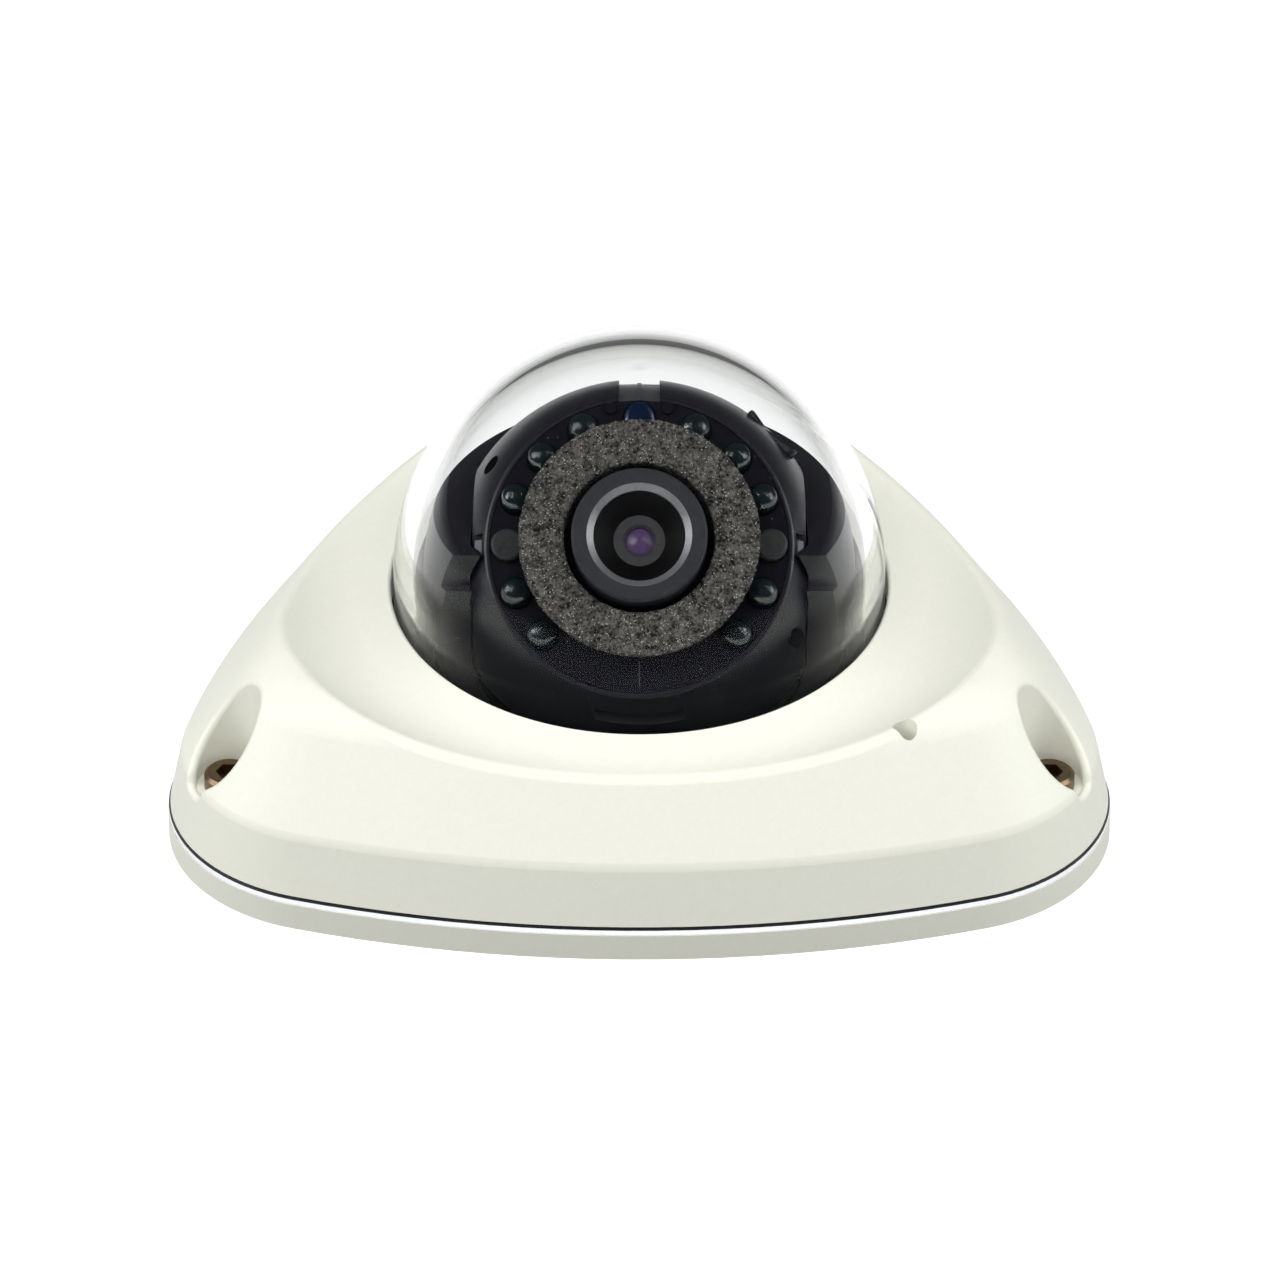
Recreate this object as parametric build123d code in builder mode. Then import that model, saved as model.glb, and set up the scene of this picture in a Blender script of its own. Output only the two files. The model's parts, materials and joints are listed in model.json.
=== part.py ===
"""Low-profile vandal-resistant dome camera: a rounded-triangle base and cover with a clear bubble, and an eyeball
with an infrared ring that pans on a turntable and tilts in a yoke behind it.

Millimetres. +Z points away from the mounting surface and the origin is on the mounting face, on the pan axis.
The lens looks to the front, which is -Y, raised above the horizontal by lens_elevation."""

from build123d import *
from math import asin, cos, degrees, pi, radians, sin, sqrt
import os

os.makedirs("parts", exist_ok=True)

# ---- plan outline: three corner arcs joined by three bulged sides ----
corner_ring = 51.4          # from the pan axis to a corner arc's centre
corner_radius = 28.45
side_reach = 61.0           # from the pan axis to the middle of a bulged side
corner_angles = (90, 210, 330)
side_angles = (30, 150, 270)

# ---- base ----
floor_thick = 3.0
base_height = 4.4
base_wall = 3.2
frame_thick = 0.9
frame_inset = 0.1
frame_width = 2.8
gasket_thick = 0.5
gasket_inset = 0.6
gasket_width = 2.1

# ---- cover profile, as insets from the plan outline and heights ----
cover_inset = 0.35
cover_wall = 2.6
crease_inset = 2.3
crease_z = 15.4
crease_fillet = 3.5
flank_inset = 11.3
flank_z = 28.4
crest_radius = 9.1
crest_steps = 4
rim_z = 28.7                # height of the round opening's lip on the pan axis
dish_tilt = 3.0             # the dish round the opening leans forward
scoop_start = 45.5
scoop_radius = 20.5
scoop_angle = 49.0
dish_clear = 30.0
dish_fillet = 2.0
lip_fillet = 0.6
recess_fillet = 0.8

# ---- clear bubble ----
bubble_radius = 38.3
bubble_wall = 3.0
bubble_z = 30.6             # sphere centre, which is also the tilt axis height
opening_gap = 0.4
seat_z = 23.6               # underside of the cover's lip
bubble_seal_thick = 0.8
flange_thick = 2.0
flange_reach = 5.3
clamp_thick = 2.0
clamp_screw_ring = 47.6
clamp_width = 13.4
clamp_inner = 36.9
clamp_screws_count = 6
lip_reach = 1.0
boss_ring_inner = 45.2
boss_ring_outer = 50.6

# ---- eyeball ----
lens_elevation = 45.0
eye_radius = 29.8
eye_wall = 2.0
eye_half_width = 25.1       # the ball is cut flat at its two sides
eye_front = 18.8            # flat front, from the ball centre along the lens axis
split_lean = 15.0           # the joint between the two shells leans from square to the lens
rear_radius = 25.5
rear_half_width = 21.6
rear_flange_inset = 0.1
rear_wall = 1.8
rear_flange = 1.6
rear_depth = 15.0
plate_radius = 22.5
plate_thick = 1.5
plate_sink = 0.2
plate_gap = 0.05
plate_bore = 9.0
foam_inner = 11.2
foam_foot = 16.9
foam_outer = 18.3
foam_front = 25.6
led_ring = 19.8
led_radius = 2.4
led_tip = 21.3
led_round = 2.2
sensor_tip = 19.6
sensor_round = 0.8
led_gap = 0.15
led_angles = (25, 47, 68.5, 111, 133, 227, 249, 291.5, 313, 335)
stake_radius = 0.85
stake_height = 0.6
stake_spots = ((-4.3, 21.2), (4.3, 21.2), (-7.8, -20.2), (7.8, -20.2))
cap_radius = 2.4
cap_tip = 20.6
cap_chamfer = 0.35
post_reach = 10.25          # half the square on which the four sensor board posts stand
post_radius = 1.9
notch_width = 6.3
bottom_slot_width = 13.6
bottom_slot_height = 2.0
bottom_slot_z = 15.2
side_notch_z = 17.4
side_notch_width = 4.2
side_notch_height = 1.6
groove_back = -6.0          # where the groove ends behind the ball's top
groove_bed = 28.3
insert_radius = 29.0
ridge_radius = 29.25
ridge_width = 0.7


# ---- holes in the ball's shoulders ----
round_hole_way = (-22.5, 13.6, 14.0)
round_hole_radius = 1.7
long_hole_way = (23.6, -12.9, 12.6)
long_hole_length = 4.7
long_hole_width = 3.0
front_fillet = 0.4

# ---- boards and lens ----
led_board_z = 13.6
led_board_thick = 1.6
led_board_inner = 11.5
led_board_outer = 21.6
sensor_board_size = 28.0
sensor_board_thick = 1.2
sensor_size = 9.0
sensor_thick = 1.3
holder_size = 16.4
holder_foot = 5.0
holder_top = 14.0
holder_roof = 1.2
holder_window = 12.0
holder_radius = 8.2
barrel_radius = 6.0
barrel_bore = 4.6
barrel_back = 4.8
head_radius = 10.2
head_back = 20.6
head_front = 27.6
rim_chamfer = 0.35
glass_seat = 0.6
funnel_mouth = 6.9
bezel_mouth = 7.9
bezel_depth = 0.8
bezel_foot = 1.5
funnel_throat = 3.9
funnel_floor = 23.0
inner_ring_thick = 0.9
glass_radius = 2.1
lock_ring_radius = 8.4
lock_ring_thick = 1.9
lock_notch_radius = 0.65
lock_notches = 12
turn_gap = 0.05             # running clearance on a radius
thread_gap = 0.02
face_gap = 0.1

# ---- yoke and turntable ----
yoke_radius = 33.6
yoke_inner = 30.5
arm_gap = 0.3
yoke_front = 16.0
yoke_step = 1.5
yoke_step_rise = 7.0        # both above the tilt axis
yoke_top_rise = 12.4
pin_radius = 2.5
pin_start = 22.0
pin_head_radius = 4.0
pin_head_start = 30.0
pin_head_thick = 1.8
table_inner = 25.6
table_outer = 36.0
table_z = 10.6
table_thick = 2.6
foot_outer = 33.0
foot_thick = 2.4
foot_screw_ring = 31.0
seat_inner = 29.0
seat_outer = 41.5
seat_floor = 2.4
seat_foot_z = 8.0
retainer_inner = 33.4
retainer_thick = 1.2
liner_inner = 34.0
liner_thick = 0.9
liner_rise = 2.4            # above the tilt axis
liner_half_width = 15.0
post_ring = 38.6
base_post_radius = 3.5

# ---- screws ----
front_screw_step = (18.5, -8.1)     # from the corner arc's centre
rear_screw_step = 19.1
recess_radius = 5.1
recess_floor = 13.5
cover_boss_radius = 7.7
base_boss_radius = 5.3
cover_screw_radius = 2.0
cover_screw_tip = 1.4
cover_head_radius = 3.9
cover_head_thick = 2.6
small_screw_radius = 1.25
small_head_radius = 2.1
small_head_thick = 1.4
small_screw_bite = 4.0
board_bore_z = 1.0
socket_reach = 0.55         # hexagon sockets, as a share of the head
head_chamfer = 0.2
tiny_screw_radius = 0.8
tiny_head_radius = 1.5
tiny_head_thick = 0.9
tiny_screw_bite = 5.0
screw_gap = 0.2

# ---- mounting and boards on the base ----
mount_ring = 50.5
mount_hole_radius = 2.3
gland_y = 54.0
gland_radius = 7.0
gland_flange = 8.6
gland_bore = 3.0
gland_rise = 2.4
gland_fillet = 0.6
board_inset = 14.5
board_z = 4.4
board_thick = 1.6
board_back_y = 44.0
board_hole_radius = 28.4
board_spots = ((-41.0, -32.0), (41.0, -32.0), (-24.0, 38.5), (24.0, 38.5))
standoff_radius = 2.6
post_pass = 0.6             # the board's clearance round the posts
led_post_pass = 0.2
chip_spot = (0.0, 36.0)
chip_size = 12.0
chip_thick = 1.3
chip_chamfer = 0.2
socket_spot = (-48.5, -22.0)
socket_width = 9.0
socket_length = 11.0
socket_height = 7.0
socket_wall = 1.5
socket_depth = 5.0
card_spot = (48.5, -22.0)
card_size = 12.0
card_height = 1.8
card_wall = 0.9
card_slot = 1.0
mic_spot = (40.4, -42.2)
mic_radius = 2.6
mic_depth = 4.2
mic_hole_radius = 0.75
mic_hole_depth = 1.05
mic_boss_radius = 4.4
mic_boss_z = 18.0
mic_port_radius = 1.5
mic_port_length = 1.2
mic_port_turn = -45.0
reset_spot = (-44.5, -10.5)
reset_size = 6.0
reset_height = 2.5
reset_well = 1.6
reset_travel = 0.4
reset_proud = 0.9
reset_radius = 1.75

# ---- worked out ----
cos_corner = cos(radians(60))
reach_gap = side_reach - corner_radius
side_back = (corner_ring**2 - reach_gap**2) / (2 * reach_gap - 2 * corner_ring * cos_corner)
side_radius = side_reach + side_back
side_half = degrees(asin(corner_ring * sin(radians(60)) / (side_radius - corner_radius)))
frame_z = base_height
gasket_z = frame_z + frame_thick
cover_z = gasket_z + gasket_thick
opening_radius = bubble_radius + opening_gap
bubble_inner = bubble_radius - bubble_wall
seal_z = seat_z - bubble_seal_thick
flange_z = seal_z - flange_thick
clamp_z = flange_z - clamp_thick
flange_radius = bubble_radius + flange_reach
clamp_outer = clamp_inner + clamp_width
elevation = radians(lens_elevation)
yoke_step_z = bubble_z + yoke_step_rise
yoke_top_z = bubble_z + yoke_top_rise
liner_top_z = bubble_z + liner_rise
centre = Vector(0, 0, bubble_z)
lens_dir = Vector(0, -cos(elevation), sin(elevation))
lens_axis = Axis(centre, lens_dir)
eye = Plane(origin=centre, x_dir=(1, 0, 0), z_dir=lens_dir)
eye_section = Plane(origin=centre, x_dir=(1, 0, 0), z_dir=(0, -sin(elevation), -cos(elevation)))
eye_side = Plane(origin=centre, x_dir=lens_dir, z_dir=(-1, 0, 0))
split_angle = elevation + radians(split_lean)
split_plane = Plane(origin=centre, x_dir=(1, 0, 0), z_dir=(0, -cos(split_angle), sin(split_angle)))
upright = Plane.XZ
cross = Plane(origin=centre, x_dir=(0, 1, 0), z_dir=(1, 0, 0))
eye_core = eye_radius - eye_wall
plate_z = eye_front - plate_sink
plate_back = plate_z - plate_thick
board_front = led_board_z + led_board_thick
foot_z = table_z + table_thick
seat_wall_z = foot_z + face_gap
retainer_z = seat_wall_z
board_top = board_z + board_thick
front_corner = (corner_ring * cos(radians(30)), -corner_ring * sin(radians(30)))
front_screw = (front_corner[0] + front_screw_step[0], front_corner[1] + front_screw_step[1])
screw_spots = ((-front_screw[0], front_screw[1]), front_screw, (0, corner_ring + rear_screw_step))
tilt = radians(dish_tilt)
lip_length = 2 * pi * opening_radius
led_spots = [(led_ring * sin(radians(a)), led_ring * cos(radians(a))) for a in led_angles]
cap_spots = [(-led_ring, 0), (led_ring, 0)]
sensor_spot = (0, led_ring)
post_spots = [(x * post_reach, y * post_reach) for x in (-1, 1) for y in (-1, 1)]


def polar(radius, angle):
    """A point at a radius and an angle in degrees."""
    return (radius * cos(radians(angle)), radius * sin(radians(angle)))


def outline(inset=0.0):
    """Draws the plan outline, moved inwards by inset, in the current sketch."""
    with BuildLine() as edge:
        for angle in corner_angles:
            span = 2 * (60 - side_half)
            CenterArc(polar(corner_ring, angle), corner_radius - inset, angle - span / 2, span)
            CenterArc(polar(-side_back, angle + 60), side_radius - inset, angle + 60 - side_half, 2 * side_half)
    make_face(edge.edges())


def washer(outer, inner):
    """Draws a ring in the current sketch."""
    Circle(outer)
    Circle(inner, mode=Mode.SUBTRACT)


def leaned(inset, height, slope, depth):
    """A profile point moved into the material by depth, square to a slope in degrees."""
    return (inset + depth * sin(radians(slope)), height - depth * cos(radians(slope)))


def cover_form(depth):
    """The hill's solid, with its whole outside moved inwards by depth."""
    wall_slope = degrees(asin((crease_z - cover_z) / sqrt((crease_z - cover_z)**2 + (crease_inset - cover_inset)**2)))
    flank_run = sqrt((flank_z - crease_z)**2 + (flank_inset - crease_inset)**2)
    flank_slope = degrees(asin((flank_z - crease_z) / flank_run))
    turn = (wall_slope - flank_slope) / 2
    hub = leaned(flank_inset, flank_z, flank_slope, crest_radius)
    foot = (cover_inset + depth / sin(radians(wall_slope)), cover_z)
    crease = leaned(crease_inset, crease_z, flank_slope + turn, depth / cos(radians(turn)))
    slopes = [flank_slope * (1 - i / crest_steps) for i in range(crest_steps + 1)]
    crest = [leaned(*hub, slope, depth - crest_radius) for slope in slopes]
    with BuildPart() as form:
        for run in ([foot, crease], [crease, crest[0]], crest):
            for inset, height in run:
                with BuildSketch(Plane.XY.offset(height)):
                    outline(inset)
            loft(ruled=len(run) == 2)
    return form.part


def dish_form(depth):
    """What is cut away above the dish, with the dish moved down by depth."""
    hub = (0, 0, rim_z)
    section = Plane(origin=hub, x_dir=(1, 0, 0), z_dir=(0, -cos(tilt), -sin(tilt)))
    with BuildPart() as form:
        with BuildSketch(section):
            with BuildLine():
                floor = Line((0, -depth), (scoop_start, -depth))
                scoop = JernArc(floor @ 1, (1, 0), scoop_radius + depth, scoop_angle)
                Polyline(scoop @ 1, (scoop_start + dish_clear, dish_clear), (0, dish_clear), (0, -depth))
            make_face()
        revolve(axis=Axis(hub, (0, -sin(tilt), cos(tilt))))
    return form.part


def screw(plane, spots, shank, head, head_thick, length):
    """A group of screws whose heads stand on a plane and whose shanks go down from it."""
    with BuildPart() as group:
        with BuildSketch(plane):
            with Locations(*spots):
                Circle(head)
        extrude(amount=head_thick)
        with BuildSketch(plane):
            with Locations(*spots):
                Circle(shank)
        extrude(amount=-length)
        with BuildSketch(plane.offset(head_thick)):
            with Locations(*spots):
                RegularPolygon(head * socket_reach, 6)
        extrude(amount=-head_thick * socket_reach, mode=Mode.SUBTRACT)
        rims = group.edges().filter_by(GeomType.CIRCLE).filter_by(lambda e: abs(e.radius - head) < thread_gap)
        chamfer(rims.filter_by(lambda e: abs((e.arc_center - plane.origin).dot(plane.z_dir) - head_thick) < thread_gap),
                head_thick * head_chamfer)
    return group


def eye_form(radius, half_width):
    """A ball round the centre, cut flat at its two sides."""
    with BuildPart() as form:
        with Locations(centre):
            Sphere(radius)
            Box(2 * half_width, 3 * radius, 3 * radius, mode=Mode.INTERSECT)
    return form.part


def shoulder(way):
    """The plane at the centre that looks out of the ball in a direction given in the ball's own axes."""
    return Plane(origin=centre, x_dir=lens_dir, z_dir=eye.x_dir * way[0] + eye.y_dir * way[1] + lens_dir * way[2])


def groove_form(width, inner, outer):
    """A strip that runs over the ball's top from groove_back to the front, between two radii."""
    with BuildPart() as form:
        with BuildSketch(eye_side.offset(-width / 2)):
            washer(outer, inner)
            with Locations(((eye_radius + groove_back) / 2, eye_radius)):
                Rectangle(eye_radius - groove_back, 2 * eye_radius, mode=Mode.INTERSECT)
        extrude(amount=width)
    return form.part


# ---- base plate: cast floor with the posts and bosses that everything stands on ----
with BuildPart() as base_plate:
    with BuildSketch():
        outline()
    extrude(amount=base_height)
    with BuildSketch(Plane.XY.offset(floor_thick)):
        outline(base_wall)
    extrude(amount=base_height, mode=Mode.SUBTRACT)
    with BuildSketch(Plane.XY.offset(floor_thick)):
        with Locations(*screw_spots):
            Circle(base_boss_radius)
    extrude(amount=cover_z - floor_thick)
    with BuildSketch(Plane.XY.offset(floor_thick)):
        with Locations(*[polar(post_ring, angle) for angle in side_angles]):
            Circle(base_post_radius)
    extrude(amount=seat_foot_z - floor_thick)
    with BuildSketch(Plane.XY.offset(floor_thick)):
        with Locations(*board_spots):
            Circle(standoff_radius)
    extrude(amount=board_z - floor_thick)
    with BuildSketch(Plane.XY.offset(cover_screw_tip)):
        with Locations(*screw_spots):
            Circle(cover_screw_radius + thread_gap)
    extrude(amount=cover_z, mode=Mode.SUBTRACT)
    with BuildSketch(Plane.XY.offset(seat_foot_z)):
        with Locations(*[polar(post_ring, angle) for angle in side_angles]):
            Circle(small_screw_radius + thread_gap)
    extrude(amount=-small_screw_bite - face_gap, mode=Mode.SUBTRACT)
    with BuildSketch(Plane.XY.offset(board_z)):
        with Locations(*board_spots):
            Circle(small_screw_radius + thread_gap)
    extrude(amount=board_bore_z - board_z, mode=Mode.SUBTRACT)
    with BuildSketch():
        with Locations(*[polar(mount_ring, angle) for angle in side_angles]):
            Circle(mount_hole_radius)
        with Locations((0, gland_y)):
            Circle(gland_radius)
    extrude(amount=floor_thick, mode=Mode.SUBTRACT)
base_plate.part.label = "base_plate"
export_step(base_plate.part, "parts/base_plate.step")

with BuildPart() as seal_frame:
    with BuildSketch(Plane.XY.offset(frame_z)):
        outline(frame_inset)
    extrude(amount=frame_thick)
    with BuildSketch(Plane.XY.offset(frame_z)):
        outline(frame_inset + frame_width)
    extrude(amount=frame_thick, mode=Mode.SUBTRACT)
seal_frame.part.label = "seal_frame"
export_step(seal_frame.part, "parts/seal_frame.step")

with BuildPart() as base_gasket:
    with BuildSketch(Plane.XY.offset(gasket_z)):
        outline(gasket_inset)
    extrude(amount=gasket_thick)
    with BuildSketch(Plane.XY.offset(gasket_z)):
        outline(gasket_inset + gasket_width)
    extrude(amount=gasket_thick, mode=Mode.SUBTRACT)
base_gasket.part.label = "base_gasket"
export_step(base_gasket.part, "parts/base_gasket.step")

# ---- cover: a drafted wall, a steep flank and a rounded crest, scooped out round the bubble ----
with BuildPart() as cover_hollow:
    add(cover_form(cover_wall))
    add(dish_form(cover_wall), mode=Mode.SUBTRACT)
    with BuildSketch(Plane.XY.offset(cover_z)):
        with Locations(*screw_spots):
            Circle(cover_boss_radius)
    extrude(amount=dish_clear, mode=Mode.SUBTRACT)
    with BuildSketch(Plane.XY.offset(mic_boss_z)):
        with Locations(mic_spot):
            Circle(mic_boss_radius)
    extrude(amount=dish_clear, mode=Mode.SUBTRACT)
    with BuildSketch(Plane.XY.offset(seat_z)):
        washer(boss_ring_outer, opening_radius - lip_reach)
    extrude(amount=dish_clear, mode=Mode.SUBTRACT)
    with BuildSketch(Plane.XY.offset(flange_z)):
        washer(boss_ring_outer, boss_ring_inner)
    extrude(amount=dish_clear, mode=Mode.SUBTRACT)

with BuildPart() as cover:
    add(cover_form(0))
    fillet(cover.edges().filter_by(lambda e: abs(e.center().Z - crease_z) < face_gap), crease_fillet)
    add(dish_form(0), mode=Mode.SUBTRACT)
    scoop_edges = cover.faces().filter_by(GeomType.TORUS).edges()
    fillet(scoop_edges.filter_by(lambda e: e.geom_type != GeomType.CIRCLE), dish_fillet)
    with BuildSketch():
        Circle(opening_radius)
    extrude(amount=3 * dish_clear, mode=Mode.SUBTRACT)
    lip = cover.edges().filter_by(lambda e: e.center().Z > recess_floor and abs(e.length - lip_length) < 1)
    fillet(lip, lip_fillet)
    with BuildSketch(Plane.XY.offset(recess_floor)):
        with Locations(*screw_spots):
            Circle(recess_radius)
    extrude(amount=dish_clear, mode=Mode.SUBTRACT)
    wells = cover.faces().filter_by(GeomType.CYLINDER).filter_by(lambda f: abs(f.radius - recess_radius) < thread_gap)
    fillet(wells.edges().filter_by(lambda e: e.geom_type != GeomType.LINE and e.center().Z > crease_z),
           recess_fillet)
    add(cover_hollow.part, mode=Mode.SUBTRACT)
    with BuildSketch(Plane.XY.offset(cover_z)):
        with Locations(*screw_spots):
            Circle(cover_screw_radius + screw_gap)
    extrude(amount=recess_floor, mode=Mode.SUBTRACT)
    with BuildSketch(Plane.XY.offset(mic_boss_z)):
        with Locations(mic_spot):
            Circle(mic_radius)
    extrude(amount=mic_depth, mode=Mode.SUBTRACT)
    with BuildSketch(Plane.XY.offset(mic_boss_z)):
        with Locations(mic_spot):
            SlotCenterToCenter(mic_port_length, 2 * mic_port_radius, rotation=mic_port_turn)
    extrude(amount=dish_clear, mode=Mode.SUBTRACT)
    with BuildSketch(Plane.XY.offset(flange_z)):
        with PolarLocations(clamp_screw_ring, clamp_screws_count):
            Circle(small_screw_radius + thread_gap)
    extrude(amount=small_screw_bite, mode=Mode.SUBTRACT)
cover.part.label = "cover"
export_step(cover.part, "parts/cover.step")

cover_screws = screw(Plane.XY.offset(recess_floor), screw_spots, cover_screw_radius, cover_head_radius,
                     cover_head_thick, recess_floor - cover_screw_tip - face_gap)
cover_screws.part.label = "cover_screws"
export_step(cover_screws.part, "parts/cover_screws.step")

with BuildPart() as microphone:
    with BuildSketch(Plane.XY.offset(mic_boss_z + face_gap)):
        with Locations(mic_spot):
            Circle(mic_radius)
    extrude(amount=mic_depth - face_gap)
    with BuildSketch(Plane.XY.offset(mic_boss_z + mic_depth)):
        with Locations(mic_spot):
            Circle(mic_hole_radius)
    extrude(amount=-mic_hole_depth, mode=Mode.SUBTRACT)
microphone.part.label = "microphone"
export_step(microphone.part, "parts/microphone.step")

# ---- bubble, its seal and its clamp ----
with BuildPart() as dome_bubble:
    with BuildSketch(upright):
        with BuildLine():
            outer = JernArc((bubble_radius, bubble_z), (0, 1), bubble_radius, 90)
            Line(outer @ 1, (0, bubble_z + bubble_inner))
            inner = JernArc((bubble_inner, bubble_z), (0, 1), bubble_inner, 90)
            Polyline(inner @ 0, (bubble_inner, flange_z), (flange_radius, flange_z), (flange_radius, seal_z),
                     (bubble_radius, seal_z), outer @ 0)
        make_face()
    revolve(axis=Axis.Z)
dome_bubble.part.label = "dome_bubble"
export_step(dome_bubble.part, "parts/dome_bubble.step")

with BuildPart() as dome_gasket:
    with BuildSketch(Plane.XY.offset(seal_z)):
        washer(flange_radius, bubble_radius + turn_gap)
    extrude(amount=bubble_seal_thick)
dome_gasket.part.label = "dome_gasket"
export_step(dome_gasket.part, "parts/dome_gasket.step")

with BuildPart() as dome_clamp:
    with BuildSketch(Plane.XY.offset(clamp_z)):
        washer(clamp_outer, clamp_outer - clamp_width)
        with PolarLocations(clamp_screw_ring, clamp_screws_count):
            Circle(small_screw_radius + screw_gap, mode=Mode.SUBTRACT)
    extrude(amount=clamp_thick)
dome_clamp.part.label = "dome_clamp"
export_step(dome_clamp.part, "parts/dome_clamp.step")

clamp_spots = [polar(clamp_screw_ring, 360 / clamp_screws_count * i) for i in range(clamp_screws_count)]
clamp_under = Plane(origin=(0, 0, clamp_z), x_dir=(1, 0, 0), z_dir=(0, 0, -1))
clamp_screws = screw(clamp_under, clamp_spots, small_screw_radius, small_head_radius, small_head_thick,
                     clamp_thick + small_screw_bite - screw_gap)
clamp_screws.part.label = "clamp_screws"
export_step(clamp_screws.part, "parts/clamp_screws.step")

# ---- electronics on the base ----
with BuildPart() as main_board:
    with BuildSketch(Plane.XY.offset(board_z)):
        outline(board_inset)
        with Locations((0, board_back_y + side_reach)):
            Rectangle(4 * side_reach, 2 * side_reach, mode=Mode.SUBTRACT)
        Circle(board_hole_radius, mode=Mode.SUBTRACT)
        with Locations(*[polar(post_ring, angle) for angle in side_angles]):
            Circle(base_post_radius + post_pass, mode=Mode.SUBTRACT)
        with Locations(*board_spots):
            Circle(small_screw_radius + screw_gap, mode=Mode.SUBTRACT)
        with Locations(*screw_spots):
            Circle(cover_boss_radius + post_pass, mode=Mode.SUBTRACT)
    extrude(amount=board_thick)
main_board.part.label = "main_board"
export_step(main_board.part, "parts/main_board.step")

board_screws = screw(Plane.XY.offset(board_top), board_spots, small_screw_radius, small_head_radius,
                     small_head_thick, board_top - board_bore_z - face_gap)
board_screws.part.label = "board_screws"
export_step(board_screws.part, "parts/board_screws.step")

with BuildPart() as processor:
    with BuildSketch(Plane.XY.offset(board_top)):
        with Locations(chip_spot):
            Rectangle(chip_size, chip_size)
    extrude(amount=chip_thick)
    chamfer(processor.edges().group_by(Axis.Z)[-1], chip_chamfer)
processor.part.label = "processor"
export_step(processor.part, "parts/processor.step")

with BuildPart() as network_socket:
    with BuildSketch(Plane.XY.offset(board_top)):
        with Locations(socket_spot):
            Rectangle(socket_width, socket_length)
    extrude(amount=socket_height)
    with BuildSketch(Plane.XY.offset(board_top + socket_height)):
        with Locations(socket_spot):
            Rectangle(socket_width - 2 * socket_wall, socket_length - 2 * socket_wall)
    extrude(amount=-socket_depth, mode=Mode.SUBTRACT)
network_socket.part.label = "network_socket"
export_step(network_socket.part, "parts/network_socket.step")

with BuildPart() as card_holder:
    with BuildSketch(Plane.XY.offset(board_top)):
        with Locations(card_spot):
            Rectangle(card_size, card_size)
    extrude(amount=card_height)
    card_mouth = (card_spot[0], card_spot[1] - card_size / 2, board_top + card_height / 2)
    with BuildSketch(Plane(origin=card_mouth, x_dir=(1, 0, 0), z_dir=(0, -1, 0))):
        Rectangle(card_size - 2 * card_wall, card_slot)
    extrude(amount=card_wall - card_size, mode=Mode.SUBTRACT)
card_holder.part.label = "card_holder"
export_step(card_holder.part, "parts/card_holder.step")

with BuildPart() as reset_switch:
    with BuildSketch(Plane.XY.offset(board_top)):
        with Locations(reset_spot):
            Rectangle(reset_size, reset_size)
    extrude(amount=reset_height)
    with BuildSketch(Plane.XY.offset(board_top + reset_height)):
        with Locations(reset_spot):
            Circle(reset_radius + turn_gap)
    extrude(amount=-reset_well, mode=Mode.SUBTRACT)
reset_switch.part.label = "reset_switch"
export_step(reset_switch.part, "parts/reset_switch.step")

with BuildPart() as reset_button:
    with BuildSketch(Plane.XY.offset(board_top + reset_height - reset_well + reset_travel)):
        with Locations(reset_spot):
            Circle(reset_radius)
    extrude(amount=reset_well - reset_travel + reset_proud)
    chamfer(reset_button.edges().group_by(Axis.Z)[-1], chip_chamfer)
reset_button.part.label = "reset_button"
export_step(reset_button.part, "parts/reset_button.step")

with BuildPart() as cable_gland:
    with BuildSketch():
        with Locations((0, gland_y)):
            Circle(gland_radius)
    extrude(amount=floor_thick)
    with BuildSketch(Plane.XY.offset(floor_thick)):
        with Locations((0, gland_y)):
            Circle(gland_flange)
    extrude(amount=gland_rise)
    with BuildSketch():
        with Locations((0, gland_y)):
            Circle(gland_bore)
    extrude(amount=floor_thick + gland_rise, mode=Mode.SUBTRACT)
    fillet(cable_gland.edges().group_by(Axis.Z)[-1], gland_fillet)
cable_gland.part.label = "cable_gland"
export_step(cable_gland.part, "parts/cable_gland.step")

# ---- turntable: a ring that turns in a fixed seat, kept down by a retainer with two side screens ----
with BuildPart() as turntable_seat:
    with BuildSketch(Plane.XY.offset(seat_foot_z)):
        washer(seat_outer, seat_inner)
    extrude(amount=seat_floor)
    with BuildSketch(Plane.XY.offset(seat_foot_z)):
        washer(seat_outer, table_outer + turn_gap)
    extrude(amount=seat_wall_z - seat_foot_z)
    with BuildSketch(Plane.XY.offset(seat_foot_z)):
        with Locations(*[polar(post_ring, angle) for angle in side_angles]):
            Circle(small_screw_radius + screw_gap)
    extrude(amount=dish_clear, mode=Mode.SUBTRACT)
turntable_seat.part.label = "turntable_seat"
export_step(turntable_seat.part, "parts/turntable_seat.step")

with BuildPart() as turntable_retainer:
    with BuildSketch(Plane.XY.offset(retainer_z)):
        washer(seat_outer, retainer_inner)
        with Locations(*[polar(post_ring, angle) for angle in side_angles]):
            Circle(small_screw_radius + screw_gap, mode=Mode.SUBTRACT)
    extrude(amount=retainer_thick)
    with BuildSketch(Plane.XY.offset(retainer_z)):
        washer(liner_inner + liner_thick, liner_inner)
        Rectangle(3 * liner_inner, 2 * liner_half_width, mode=Mode.INTERSECT)
    extrude(amount=liner_top_z - retainer_z)
turntable_retainer.part.label = "turntable_retainer"
export_step(turntable_retainer.part, "parts/turntable_retainer.step")

seat_screws = screw(Plane.XY.offset(retainer_z + retainer_thick), [polar(post_ring, a) for a in side_angles],
                    small_screw_radius, small_head_radius, small_head_thick,
                    retainer_z + retainer_thick - seat_foot_z + small_screw_bite)
seat_screws.part.label = "seat_screws"
export_step(seat_screws.part, "parts/seat_screws.step")

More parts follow.
